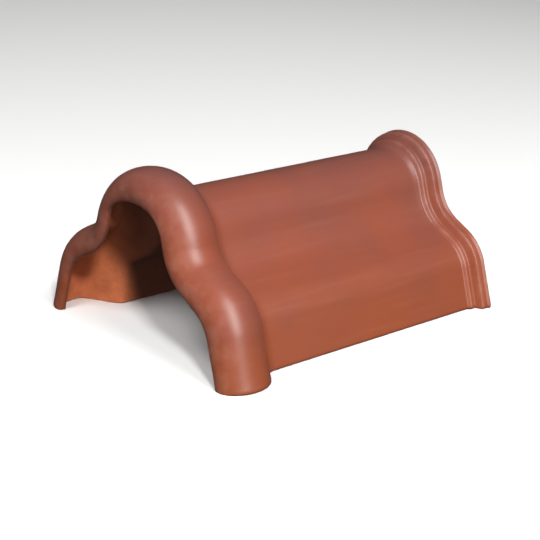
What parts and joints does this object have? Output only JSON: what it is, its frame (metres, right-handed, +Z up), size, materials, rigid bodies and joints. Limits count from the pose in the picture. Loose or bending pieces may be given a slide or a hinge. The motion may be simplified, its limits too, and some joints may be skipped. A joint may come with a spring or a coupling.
{
  "type": "decorative ridge tile",
  "caption": "Bell-profiled clay ridge tile with a hollow round hood at one end and a beaded spigot at the other, to cover and overlap along a roof ridge.",
  "frame": {"origin": "under the middle of the tile, on the plane that its underside rests on", "axes": "+X along the ridge from the hood to the spigot, +Y across the ridge, +Z up"},
  "size_m": [0.2974, 0.2492, 0.1416],
  "materials": {
    "fired_clay": "smooth terracotta with a soft satin sheen"
  },
  "bodies": {
    "root": {"ridge_tile": "fired_clay"}
  },
  "joints": []
}
